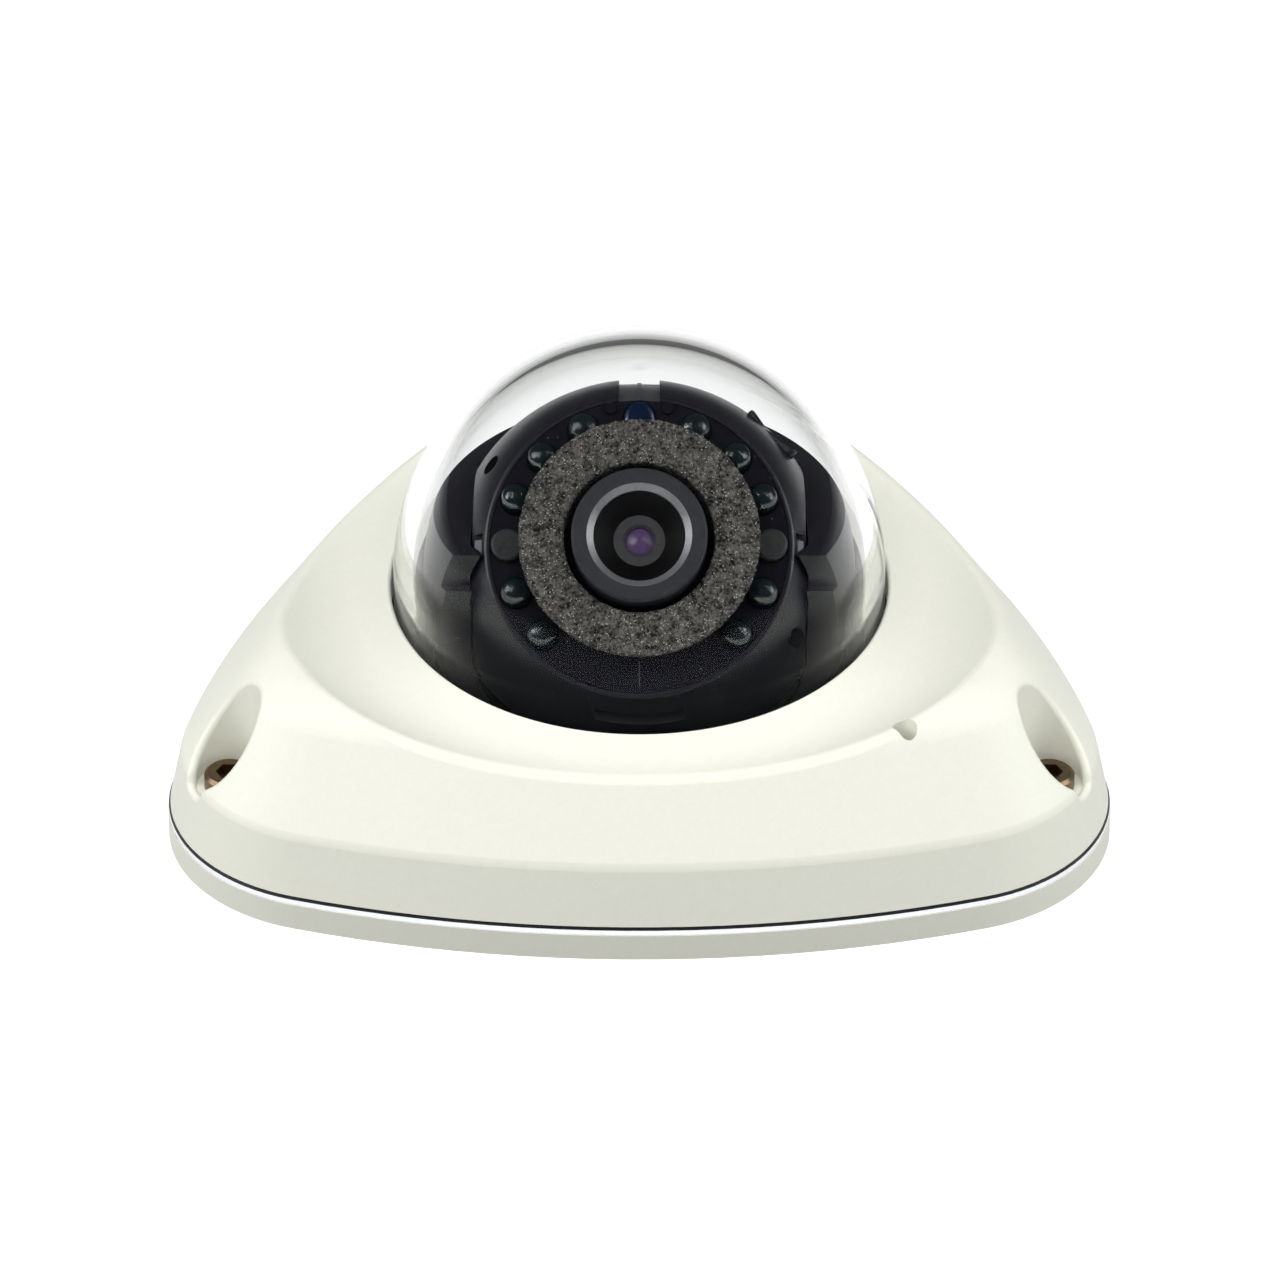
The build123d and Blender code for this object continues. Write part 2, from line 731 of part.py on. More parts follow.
with BuildPart() as turntable:
    with BuildSketch(Plane.XY.offset(table_z)):
        washer(table_outer, table_inner)
        with PolarLocations(foot_screw_ring, 4, start_angle=45):
            Circle(tiny_screw_radius + screw_gap, mode=Mode.SUBTRACT)
    extrude(amount=table_thick)
    with BuildSketch(Plane.XY.offset(table_z)):
        with PolarLocations(foot_screw_ring, 4, start_angle=45):
            Circle(tiny_head_radius + screw_gap)
    extrude(amount=tiny_head_thick + screw_gap, mode=Mode.SUBTRACT)
turntable.part.label = "turntable"
export_step(turntable.part, "parts/turntable.step")

# ---- yoke: a bowl-shaped bracket, open at the front, with a cheek on each side of the ball ----
ball_space = eye_form(yoke_inner, eye_half_width + arm_gap)
with BuildPart() as yoke:
    with Locations(centre):
        Sphere(yoke_radius)
    split(bisect_by=Plane.XY.offset(foot_z), keep=Keep.TOP)
    split(bisect_by=Plane.XY.offset(yoke_top_z), keep=Keep.BOTTOM)
    split(bisect_by=Plane(origin=(0, -yoke_front, 0), z_dir=(0, 1, 0)), keep=Keep.TOP)
    with BuildSketch(Plane.XY.offset(yoke_step_z)):
        with Locations((0, -yoke_front)):
            Rectangle(4 * yoke_radius, 2 * yoke_step)
    extrude(amount=yoke_top_z, mode=Mode.SUBTRACT)
    with BuildSketch(Plane.XY.offset(foot_z)):
        Circle(foot_outer)
    extrude(amount=foot_thick)
    add(ball_space, mode=Mode.SUBTRACT)
    with BuildSketch(cross.offset(-2 * yoke_radius)):
        Circle(pin_radius + turn_gap)
    extrude(amount=4 * yoke_radius, mode=Mode.SUBTRACT)
    for side in (-1, 1):
        with BuildSketch(Plane(origin=(side * (pin_head_start - face_gap), 0, bubble_z), x_dir=(0, 1, 0),
                               z_dir=(side, 0, 0))):
            Circle(pin_head_radius + turn_gap)
        extrude(amount=yoke_radius, mode=Mode.SUBTRACT)
    with BuildSketch(Plane.XY.offset(foot_z)):
        with PolarLocations(foot_screw_ring, 4, start_angle=45):
            Circle(tiny_screw_radius + thread_gap)
    extrude(amount=foot_thick - screw_gap, mode=Mode.SUBTRACT)
yoke.part.label = "yoke"
export_step(yoke.part, "parts/yoke.step")

table_under = Plane(origin=(0, 0, table_z + tiny_head_thick + screw_gap), x_dir=(1, 0, 0), z_dir=(0, 0, -1))
yoke_screws = screw(table_under, [polar(foot_screw_ring, 45 + 90 * i) for i in range(4)], tiny_screw_radius,
                    tiny_head_radius, tiny_head_thick, foot_z + foot_thick - table_z - tiny_head_thick - 3 * screw_gap)
yoke_screws.part.label = "yoke_screws"
export_step(yoke_screws.part, "parts/yoke_screws.step")

# ---- eyeball shells ----
with BuildPart() as eye_shell:
    add(eye_form(eye_radius, eye_half_width))
    split(bisect_by=eye.offset(eye_front), keep=Keep.BOTTOM)
    fillet(eye_shell.faces().filter_by(lambda f: abs((f.center() - centre).dot(lens_dir) - eye_front) < thread_gap).edges(),
           front_fillet)
    split(bisect_by=split_plane, keep=Keep.TOP)
    add(eye_form(eye_core, eye_half_width - eye_wall), mode=Mode.SUBTRACT)
    with BuildSketch(eye.offset(plate_back)):
        Circle(plate_radius + plate_gap)
    extrude(amount=eye_front, mode=Mode.SUBTRACT)
    with BuildSketch(eye.offset(led_board_z)):
        with Locations(*led_spots, *cap_spots, sensor_spot):
            Circle(cap_radius + led_gap)
    extrude(amount=plate_back - led_board_z, mode=Mode.SUBTRACT)
    with BuildSketch(cross.offset(-2 * yoke_radius)):
        Circle(pin_radius)
    extrude(amount=4 * yoke_radius, mode=Mode.SUBTRACT)
    add(groove_form(notch_width, groove_bed, 2 * eye_radius), mode=Mode.SUBTRACT)
    with BuildSketch(Plane(origin=eye.offset(bottom_slot_z).origin, x_dir=(1, 0, 0), z_dir=-eye.y_dir)):
        Rectangle(bottom_slot_width, bottom_slot_height)
    extrude(amount=2 * eye_radius, mode=Mode.SUBTRACT)
    for side in (-1, 1):
        with BuildSketch(Plane(origin=eye.offset(side_notch_z).origin, x_dir=eye.y_dir, z_dir=(side, 0, 0))):
            Rectangle(side_notch_width, side_notch_height)
        extrude(amount=2 * eye_radius, mode=Mode.SUBTRACT)
    with BuildSketch(shoulder(round_hole_way)):
        Circle(round_hole_radius)
    extrude(amount=2 * eye_radius, mode=Mode.SUBTRACT)
    with BuildSketch(shoulder(long_hole_way)):
        SlotOverall(long_hole_length, long_hole_width)
    extrude(amount=2 * eye_radius, mode=Mode.SUBTRACT)
eye_shell.part.label = "eye_shell"
export_step(eye_shell.part, "parts/eye_shell.step")

# ---- strip let into the groove over the ball's top, with a low ridge along its middle ----
with BuildPart() as notch_insert:
    add(groove_form(notch_width - 2 * thread_gap, groove_bed, insert_radius))
    add(groove_form(ridge_width, groove_bed, ridge_radius))
    split(bisect_by=eye.offset(eye_front), keep=Keep.BOTTOM)
    with BuildSketch(eye.offset(led_board_z)):
        Circle(plate_radius + plate_gap)
    extrude(amount=eye_front, mode=Mode.SUBTRACT)
notch_insert.part.label = "notch_insert"
export_step(notch_insert.part, "parts/notch_insert.step")

with BuildPart() as rear_hollow:
    add(eye_form(rear_radius - rear_wall, rear_half_width - rear_wall))
    split(bisect_by=eye.offset(rear_wall - rear_depth), keep=Keep.TOP)

with BuildPart() as eye_rear:
    add(eye_form(rear_radius, rear_half_width))
    split(bisect_by=eye.offset(-rear_depth), keep=Keep.TOP)
    split(bisect_by=split_plane, keep=Keep.BOTTOM)
    with BuildSketch(split_plane):
        Circle(eye_radius - rear_flange_inset)
        Rectangle(2 * eye_half_width, 4 * eye_radius, mode=Mode.INTERSECT)
    extrude(amount=-rear_flange)
    add(rear_hollow.part, mode=Mode.SUBTRACT)
    with BuildSketch(cross.offset(-2 * yoke_radius)):
        Circle(pin_radius)
    extrude(amount=4 * yoke_radius, mode=Mode.SUBTRACT)
eye_rear.part.label = "eye_rear"
export_step(eye_rear.part, "parts/eye_rear.step")

with BuildPart() as tilt_pins:
    for side in (-1, 1):
        with BuildSketch(Plane(origin=(side * pin_start, 0, bubble_z), x_dir=(0, 1, 0), z_dir=(side, 0, 0))):
            Circle(pin_radius)
        extrude(amount=pin_head_start - pin_start)
        with BuildSketch(Plane(origin=(side * pin_head_start, 0, bubble_z), x_dir=(0, 1, 0), z_dir=(side, 0, 0))):
            Circle(pin_head_radius)
        extrude(amount=pin_head_thick)
        with BuildSketch(Plane(origin=(side * (pin_head_start + pin_head_thick), 0, bubble_z), x_dir=(0, 1, 0),
                               z_dir=(side, 0, 0))):
            RegularPolygon(pin_head_radius / 2, 6)
        extrude(amount=-pin_head_thick / 2, mode=Mode.SUBTRACT)
tilt_pins.part.label = "tilt_pins"
export_step(tilt_pins.part, "parts/tilt_pins.step")

# ---- infrared plate and its board ----
with BuildPart() as led_plate:
    with BuildSketch(eye.offset(plate_back)):
        Circle(plate_radius)
        Circle(plate_bore, mode=Mode.SUBTRACT)
        with Locations(*led_spots, *cap_spots, sensor_spot):
            Circle(led_radius + led_gap, mode=Mode.SUBTRACT)
    extrude(amount=plate_thick)
    with BuildSketch(eye):
        with Locations(*post_spots):
            Circle(post_radius)
    extrude(amount=plate_back)
    with BuildSketch(eye):
        with Locations(*post_spots):
            Circle(tiny_screw_radius + thread_gap)
    extrude(amount=tiny_screw_bite + face_gap, mode=Mode.SUBTRACT)
    with BuildSketch(eye.offset(plate_z)):
        with Locations(*stake_spots):
            Circle(stake_radius)
    extrude(amount=stake_height)
led_plate.part.label = "led_plate"
export_step(led_plate.part, "parts/led_plate.step")

with BuildPart() as led_board:
    with BuildSketch(eye.offset(led_board_z)):
        washer(led_board_outer, led_board_inner)
        with Locations(*post_spots):
            Circle(post_radius + led_post_pass, mode=Mode.SUBTRACT)
    extrude(amount=led_board_thick)
led_board.part.label = "led_board"
export_step(led_board.part, "parts/led_board.step")

with BuildPart() as ir_leds:
    with BuildSketch(eye.offset(board_front)):
        with Locations(*led_spots):
            Circle(led_radius)
    extrude(amount=led_tip - board_front)
    fillet(ir_leds.edges().filter_by(GeomType.CIRCLE).filter_by(
        lambda e: abs((e.arc_center - centre).dot(lens_dir) - led_tip) < face_gap), led_round)
ir_leds.part.label = "ir_leds"
export_step(ir_leds.part, "parts/ir_leds.step")

with BuildPart() as light_sensor:
    with BuildSketch(eye.offset(board_front)):
        with Locations(sensor_spot):
            Circle(led_radius)
    extrude(amount=sensor_tip - board_front)
    fillet(light_sensor.edges().filter_by(GeomType.CIRCLE).filter_by(
        lambda e: abs((e.arc_center - centre).dot(lens_dir) - sensor_tip) < face_gap), sensor_round)
light_sensor.part.label = "light_sensor"
export_step(light_sensor.part, "parts/light_sensor.step")

with BuildPart() as side_caps:
    with BuildSketch(eye.offset(board_front)):
        with Locations(*cap_spots):
            Circle(cap_radius)
    extrude(amount=cap_tip - board_front)
    chamfer(side_caps.edges().filter_by(GeomType.CIRCLE).filter_by(
        lambda e: abs((e.arc_center - centre).dot(lens_dir) - cap_tip) < face_gap), cap_chamfer)
side_caps.part.label = "side_caps"
export_step(side_caps.part, "parts/side_caps.step")

with BuildPart() as foam_ring:
    with BuildSketch(eye_section):
        with BuildLine():
            Polyline((foam_inner, plate_z), (foam_foot, plate_z), (foam_outer, foam_front),
                     (foam_inner, foam_front), (foam_inner, plate_z))
        make_face()
    revolve(axis=lens_axis)
foam_ring.part.label = "foam_ring"
export_step(foam_ring.part, "parts/foam_ring.step")

# ---- image sensor and lens ----
with BuildPart() as sensor_board:
    with BuildSketch(eye.offset(-sensor_board_thick)):
        RectangleRounded(sensor_board_size, sensor_board_size, post_radius)
        with Locations(*post_spots):
            Circle(tiny_screw_radius + screw_gap, mode=Mode.SUBTRACT)
    extrude(amount=sensor_board_thick)
sensor_board.part.label = "sensor_board"
export_step(sensor_board.part, "parts/sensor_board.step")

with BuildPart() as image_sensor:
    with BuildSketch(eye):
        Rectangle(sensor_size, sensor_size)
    extrude(amount=sensor_thick)
image_sensor.part.label = "image_sensor"
export_step(image_sensor.part, "parts/image_sensor.step")

board_rear = Plane(origin=eye.offset(-sensor_board_thick).origin, x_dir=(1, 0, 0), z_dir=-lens_dir)
rear_spots = [(x, -y) for x, y in post_spots]
sensor_screws = screw(board_rear, rear_spots, tiny_screw_radius, tiny_head_radius, tiny_head_thick,
                      sensor_board_thick + tiny_screw_bite)
sensor_screws.part.label = "sensor_screws"
export_step(sensor_screws.part, "parts/sensor_screws.step")

with BuildPart() as lens_holder:
    with BuildSketch(eye):
        Rectangle(holder_size, holder_size)
        Rectangle(holder_window, holder_window, mode=Mode.SUBTRACT)
    extrude(amount=holder_foot)
    with BuildSketch(eye.offset(barrel_back - holder_roof)):
        Rectangle(holder_size, holder_size)
    extrude(amount=holder_foot - barrel_back + holder_roof)
    with BuildSketch(eye.offset(holder_foot)):
        Circle(holder_radius)
    extrude(amount=holder_top - holder_foot)
    with BuildSketch(eye.offset(sensor_thick)):
        Circle(barrel_radius + turn_gap)
    extrude(amount=holder_top, mode=Mode.SUBTRACT)
lens_holder.part.label = "lens_holder"
export_step(lens_holder.part, "parts/lens_holder.step")

with BuildPart() as lens_lock_ring:
    with BuildSketch(eye.offset(holder_top)):
        washer(lock_ring_radius, barrel_radius + turn_gap)
        with PolarLocations(lock_ring_radius, lock_notches):
            Circle(lock_notch_radius, mode=Mode.SUBTRACT)
    extrude(amount=lock_ring_thick)
lens_lock_ring.part.label = "lens_lock_ring"
export_step(lens_lock_ring.part, "parts/lens_lock_ring.step")

with BuildPart() as lens_barrel:
    with BuildSketch(eye.offset(barrel_back)):
        washer(barrel_radius, barrel_bore)
    extrude(amount=head_back - barrel_back)
lens_barrel.part.label = "lens_barrel"
export_step(lens_barrel.part, "parts/lens_barrel.step")

with BuildPart() as lens_head:
    with BuildSketch(eye_section):
        with BuildLine():
            Polyline((barrel_bore, head_back), (head_radius - rim_chamfer, head_back),
                     (head_radius, head_back + rim_chamfer), (head_radius, head_front - rim_chamfer),
                     (head_radius - rim_chamfer, head_front), (bezel_mouth, head_front),
                     (bezel_mouth, head_front - bezel_foot), (funnel_mouth, head_front - bezel_foot),
                     (funnel_throat, funnel_floor), (funnel_throat, head_back + glass_seat),
                     (barrel_bore, head_back + glass_seat), (barrel_bore, head_back))
        make_face()
    revolve(axis=lens_axis)
lens_head.part.label = "lens_head"
export_step(lens_head.part, "parts/lens_head.step")

with BuildPart() as lens_bezel:
    with BuildSketch(eye_section):
        with BuildLine():
            Polyline((funnel_mouth, head_front - bezel_foot), (bezel_mouth, head_front - bezel_foot),
                     (bezel_mouth, head_front), (funnel_mouth, head_front - bezel_depth),
                     (funnel_mouth, head_front - bezel_foot))
        make_face()
    revolve(axis=lens_axis)
lens_bezel.part.label = "lens_bezel"
export_step(lens_bezel.part, "parts/lens_bezel.step")

with BuildPart() as lens_inner_ring:
    with BuildSketch(eye_section):
        with BuildLine():
            Polyline((glass_radius, funnel_floor - inner_ring_thick), (funnel_throat, funnel_floor - inner_ring_thick),
                     (funnel_throat, funnel_floor), (glass_radius + inner_ring_thick / 2, funnel_floor),
                     (glass_radius, funnel_floor - inner_ring_thick / 2),
                     (glass_radius, funnel_floor - inner_ring_thick))
        make_face()
    revolve(axis=lens_axis)
lens_inner_ring.part.label = "lens_inner_ring"
export_step(lens_inner_ring.part, "parts/lens_inner_ring.step")

with BuildPart() as front_glass:
    with BuildSketch(eye_section):
        with BuildLine():
            face = ThreePointArc((0, funnel_floor - inner_ring_thick / 3),
                                 (glass_radius / 2, funnel_floor - inner_ring_thick / 2),
                                 (glass_radius, funnel_floor - inner_ring_thick))
            Polyline(face @ 1, (funnel_throat, funnel_floor - inner_ring_thick),
                     (funnel_throat, head_back + glass_seat), (0, head_back + glass_seat), face @ 0)
        make_face()
    revolve(axis=lens_axis)
front_glass.part.label = "front_glass"
export_step(front_glass.part, "parts/front_glass.step")

with BuildPart() as rear_glass:
    with BuildSketch(eye_section):
        with BuildLine():
            rear = ThreePointArc((0, barrel_back + 0.4), (barrel_bore / 2, barrel_back + 0.55),
                                 (barrel_bore, barrel_back + 1))
            Polyline(rear @ 1, (barrel_bore, barrel_back + 3), (0, barrel_back + 3), rear @ 0)
        make_face()
    revolve(axis=lens_axis)
rear_glass.part.label = "rear_glass"
export_step(rear_glass.part, "parts/rear_glass.step")
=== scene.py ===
# %% [markdown]
# # A flat dome camera in a studio
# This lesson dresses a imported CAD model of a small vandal-resistant dome camera. The CAD nodes keep their shapes and
# places, so most of the work is in finishes: textured ivory powder coat, thick clear polycarbonate, black moulded
# plastic and smoky infrared emitters. A few pieces that need finer shapes than CAD gives are modelled here.

# %% Load the fixed frame
import json
import math

import bpy
from mathutils import Matrix, Vector


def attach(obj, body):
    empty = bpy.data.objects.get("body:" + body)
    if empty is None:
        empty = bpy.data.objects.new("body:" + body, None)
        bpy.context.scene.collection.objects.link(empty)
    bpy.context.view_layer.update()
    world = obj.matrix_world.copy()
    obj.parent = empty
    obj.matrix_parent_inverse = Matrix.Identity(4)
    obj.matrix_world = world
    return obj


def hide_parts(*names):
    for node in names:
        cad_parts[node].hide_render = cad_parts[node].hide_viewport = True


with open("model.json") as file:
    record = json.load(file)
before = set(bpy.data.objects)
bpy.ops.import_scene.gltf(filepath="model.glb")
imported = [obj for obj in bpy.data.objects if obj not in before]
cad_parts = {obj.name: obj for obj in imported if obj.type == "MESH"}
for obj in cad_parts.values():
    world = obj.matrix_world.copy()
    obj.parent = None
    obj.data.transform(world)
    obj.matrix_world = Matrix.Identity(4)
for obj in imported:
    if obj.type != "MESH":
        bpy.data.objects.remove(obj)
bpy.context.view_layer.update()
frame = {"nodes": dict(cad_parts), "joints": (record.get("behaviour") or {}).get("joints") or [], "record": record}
nodes = frame["nodes"]

# %% [markdown]
# Everything in the eyeball is placed along the lens axis, so its frame is worked out once: the tilt joint gives the
# ball's centre, and the focus joint gives the direction in which the lens looks.

# %% The eyeball's own axes
joints = {joint["name"]: joint for joint in frame["joints"]}
MM = 0.001
ball_centre = Vector(joints["tilt"]["pos_m"])
lens_dir = Vector(joints["focus"]["axis"]).normalized()
eye_x = Vector((1, 0, 0))
eye_y = lens_dir.cross(eye_x).normalized()
eye_frame = Matrix((eye_x, eye_y, lens_dir)).transposed().to_4x4()
eye_frame.translation = ball_centre
print("lens raised by", round(math.degrees(math.asin(lens_dir.z)), 1), "degrees")


def along_lens(node):
    """Where a node starts and ends along the lens axis, from the ball's centre."""
    depths = [(vertex.co - ball_centre).dot(lens_dir) for vertex in nodes[node].data.vertices]
    return min(depths), max(depths)


def round_lens(node):
    """The smallest and largest distance of a node's points from the lens axis."""
    spans = []
    for vertex in nodes[node].data.vertices:
        out = vertex.co - ball_centre
        spans.append((out - lens_dir * out.dot(lens_dir)).length)
    return min(spans), max(spans)


# %% [markdown]
# ## Camera
# A long lens from far away keeps the base's outline nearly parallel, as product pictures have it. It looks down at
# the front of the camera by about a third of a right angle, a little to the front of straight above the rim.

# %% Camera
VIEW_RISE = math.radians(34.0)
VIEW_DISTANCE = 1.669
VIEW_WIDTH = 0.2012
view_back = Vector((0, -math.cos(VIEW_RISE), math.sin(VIEW_RISE)))
view_aim = Vector((0.0001, 0.0082, 0.0121))
camera_data = bpy.data.cameras.new("studio_camera")
camera_data.sensor_width = 36.0
camera_data.lens = camera_data.sensor_width * VIEW_DISTANCE / VIEW_WIDTH
camera_data.clip_end = 20.0
camera = bpy.data.objects.new("studio_camera", camera_data)
camera.location = view_aim + view_back * VIEW_DISTANCE
camera.rotation_euler = view_back.to_track_quat("Z", "Y").to_euler()
bpy.context.scene.collection.objects.link(camera)
bpy.context.scene.camera = camera
print("camera lens", round(camera_data.lens), "mm")

# %% [markdown]
# ## Light
# A wide softbox above lights the crest and the floor, and two tall ones stand at the sides, a little behind, so the
# flanks are bright and the front wall is a shade darker. The bubble would mirror every lamp, so the lamps that give
# the light are only sampled directly, and no mirror-smooth face shows them. Those in front would also veil the black
# plastic, so only the side ones and two window-like ones, high at the left and right, are let into satin reflections:
# they put the sheen on the ball's shoulders and the sparkles on the emitters.

# %% Lights and world
LOOK_AT = Vector((0, 0, 0.03))
WORLD_STRENGTH = 0.08


def softbox(name, place, width, height, power, sheen):
    """A rectangular area light that faces the object. sheen says whether satin faces show its soft reflection."""
    light = bpy.data.lights.new(name, "AREA")
    light.shape = "RECTANGLE"
    light.size = width
    light.size_y = height
    light.energy = power
    lamp = bpy.data.objects.new(name, light)
    lamp.location = place
    lamp.rotation_euler = (lamp.location - LOOK_AT).to_track_quat("Z", "Y").to_euler()
    light.cycles.use_multiple_importance_sampling = False
    lamp.visible_transmission = False
    lamp.visible_glossy = sheen
    bpy.context.scene.collection.objects.link(lamp)
    print("softbox", name, power, "W")


softbox("top_softbox", (0.0, 0.12, 0.95), 1.1, 0.9, 1.3, False)
softbox("left_softbox", (-0.8, -0.12, 0.42), 0.5, 0.6, 4.1, True)
softbox("right_softbox", (0.8, -0.12, 0.42), 0.5, 0.6, 4.1, True)
softbox("front_softbox", (0.0, -0.6, 1.05), 0.9, 0.5, 6.0, False)
softbox("low_fill", (0.0, -1.0, 0.22), 0.9, 0.3, 1.5, False)
softbox("left_window", (-0.45, -0.38, 0.74), 0.5, 0.5, 1.6, True)
softbox("right_window", (0.45, -0.30, 0.74), 0.3, 0.5, 0.9, True)

world = bpy.data.worlds.new("pale_studio")
world.use_nodes = True
world.node_tree.nodes["Background"].inputs["Color"].default_value = (1.0, 1.0, 1.0, 1.0)
world.node_tree.nodes["Background"].inputs["Strength"].default_value = WORLD_STRENGTH
bpy.context.scene.world = world
bpy.context.scene.view_settings.view_transform = "Standard"

# %% [markdown]
# ## Materials
# Each finish is a Principled material. Effects that several finishes share are node groups: one gives the fine
# orange-peel grain of a moulded or powder-coated face, one gives rare pale specks: dust on plastic, and on the
# sponge pale cell walls that are partly painted highlight. A group only puts out values and normals, and the shader
# stays in the material.

# %% Helpers for node trees
def socket(tree, name, kind, way, value=None):
    """Adds one named socket to a node group."""
    new = tree.interface.new_socket(name=name, socket_type=kind, in_out=way)
    if value is not None:
        new.default_value = value


def add_node(tree, kind, **settings):
    """Adds a node and sets its properties, or its inputs when the name starts with in_."""
    node = tree.nodes.new(kind)
    for name, value in settings.items():
        if name.startswith("in_"):
            node.inputs[name[3:].replace("_", " ")].default_value = value
        else:
            setattr(node, name, value)
    return node


def make_grain_group():
    """Grain height and normal of a textured face, on object coordinates."""
    tree = bpy.data.node_groups.new("surface_grain", "ShaderNodeTree")
    socket(tree, "Scale", "NodeSocketFloat", "INPUT", 1500.0)
    socket(tree, "Strength", "NodeSocketFloat", "INPUT", 0.2)
    socket(tree, "Distance", "NodeSocketFloat", "INPUT", 0.0001)
    socket(tree, "Contrast", "NodeSocketFloat", "INPUT", 1.0)
    socket(tree, "Mask", "NodeSocketFloat", "OUTPUT")
    socket(tree, "Normal", "NodeSocketVector", "OUTPUT")
    start = add_node(tree, "NodeGroupInput")
    end = add_node(tree, "NodeGroupOutput")
    where = add_node(tree, "ShaderNodeTexCoord")
    fine = add_node(tree, "ShaderNodeTexNoise", in_Detail=3.0, in_Roughness=0.6)
    broad = add_node(tree, "ShaderNodeTexNoise", in_Detail=1.0)
    share = add_node(tree, "ShaderNodeMath", operation="MULTIPLY")
    share.inputs[1].default_value = 0.3
    both = add_node(tree, "ShaderNodeMix", data_type="FLOAT", in_Factor=0.35)
    centred = add_node(tree, "ShaderNodeMath", operation="SUBTRACT")
    centred.inputs[1].default_value = 0.5
    spread = add_node(tree, "ShaderNodeMath", operation="MULTIPLY_ADD", use_clamp=True)
    spread.inputs[2].default_value = 0.5
    bump = add_node(tree, "ShaderNodeBump")
    link = tree.links.new
    link(where.outputs["Object"], fine.inputs["Vector"])
    link(where.outputs["Object"], broad.inputs["Vector"])
    link(start.outputs["Scale"], fine.inputs["Scale"])
    link(start.outputs["Scale"], share.inputs[0])
    link(share.outputs[0], broad.inputs["Scale"])
    link(fine.outputs["Fac"], both.inputs["A"])
    link(broad.outputs["Fac"], both.inputs["B"])
    link(both.outputs["Result"], bump.inputs["Height"])
    link(start.outputs["Strength"], bump.inputs["Strength"])
    link(start.outputs["Distance"], bump.inputs["Distance"])
    link(both.outputs["Result"], centred.inputs[0])
    link(centred.outputs["Value"], spread.inputs[0])
    link(start.outputs["Contrast"], spread.inputs[1])
    link(spread.outputs["Value"], end.inputs["Mask"])
    link(bump.outputs["Normal"], end.inputs["Normal"])
    return tree


def make_speck_group():
    """A mask of rare, small specks: dust on plastic, or on a sponge pale cell walls that are partly painted highlight.
    """
    tree = bpy.data.node_groups.new("specks", "ShaderNodeTree")
    socket(tree, "Scale", "NodeSocketFloat", "INPUT", 900.0)
    socket(tree, "Amount", "NodeSocketFloat", "INPUT", 0.1)
    socket(tree, "Mask", "NodeSocketFloat", "OUTPUT")
    start = add_node(tree, "NodeGroupInput")
    end = add_node(tree, "NodeGroupOutput")
    where = add_node(tree, "ShaderNodeTexCoord")
    cells = add_node(tree, "ShaderNodeTexVoronoi", feature="F1")
    patches = add_node(tree, "ShaderNodeTexNoise", in_Detail=2.0)
    share = add_node(tree, "ShaderNodeMath", operation="MULTIPLY")
    share.inputs[1].default_value = 0.4
    near = add_node(tree, "ShaderNodeMath", operation="LESS_THAN")
    some = add_node(tree, "ShaderNodeMath", operation="GREATER_THAN")
    some.inputs[1].default_value = 0.52
    both = add_node(tree, "ShaderNodeMath", operation="MULTIPLY")
    link = tree.links.new
    link(where.outputs["Object"], cells.inputs["Vector"])
    link(where.outputs["Object"], patches.inputs["Vector"])
    link(start.outputs["Scale"], cells.inputs["Scale"])
    link(start.outputs["Scale"], share.inputs[0])
    link(share.outputs[0], patches.inputs["Scale"])
    link(cells.outputs["Distance"], near.inputs[0])
    link(start.outputs["Amount"], near.inputs[1])
    link(patches.outputs["Fac"], some.inputs[0])
    link(near.outputs[0], both.inputs[0])
    link(some.outputs[0], both.inputs[1])
    link(both.outputs[0], end.inputs["Mask"])
    return tree


grain_group = make_grain_group()
speck_group = make_speck_group()
print("node groups", grain_group.name, speck_group.name)


# %% [markdown]
# A plain opaque finish is the same recipe each time: a base colour that wanders a little between two tones with the
# grain, a roughness that follows it, the grain's normal, and now and then a speck. Only the numbers differ.

# %% A recipe for opaque finishes
def place_group(tree, group, **values):
    """Puts a node group in a material and sets its inputs."""
    node = tree.nodes.new("ShaderNodeGroup")
    node.node_tree = group
    for name, value in values.items():
        node.inputs[name].default_value = value
    return node


def finish(name, dark, pale, rough, grain, metallic=0.0, coat=0.0, specks=None, level=0.5, contrast=1.6):
    """An opaque material.

    rough is (low, high), grain is (scale, strength, distance) and specks is (scale, amount, tone).
    """
    material = bpy.data.materials.new(name)
    material.use_nodes = True
    tree = material.node_tree
    shader = tree.nodes["Principled BSDF"]
    shader.inputs["Metallic"].default_value = metallic
    shader.inputs["Coat Weight"].default_value = coat
    shader.inputs["Specular IOR Level"].default_value = level
    texture = place_group(tree, grain_group, Scale=grain[0], Strength=grain[1], Distance=grain[2],
                          Contrast=contrast)
    tone = add_node(tree, "ShaderNodeMix", data_type="RGBA")
    tone.inputs["A"].default_value = (*dark, 1.0)
    tone.inputs["B"].default_value = (*pale, 1.0)
    gloss = add_node(tree, "ShaderNodeMapRange", in_To_Min=rough[0], in_To_Max=rough[1])
    link = tree.links.new
    link(texture.outputs["Mask"], tone.inputs["Factor"])
    link(texture.outputs["Mask"], gloss.inputs["Value"])
    colour = tone.outputs["Result"]
    if specks:
        dots = place_group(tree, speck_group, Scale=specks[0], Amount=specks[1])
        spotted = add_node(tree, "ShaderNodeMix", data_type="RGBA")
        spotted.inputs["B"].default_value = (*specks[2], 1.0)
        link(dots.outputs["Mask"], spotted.inputs["Factor"])
        link(colour, spotted.inputs["A"])
        colour = spotted.outputs["Result"]
    link(colour, shader.inputs["Base Color"])
    link(gloss.outputs["Result"], shader.inputs["Roughness"])
    link(texture.outputs["Normal"], shader.inputs["Normal"])
    print("finish", name)
    return material
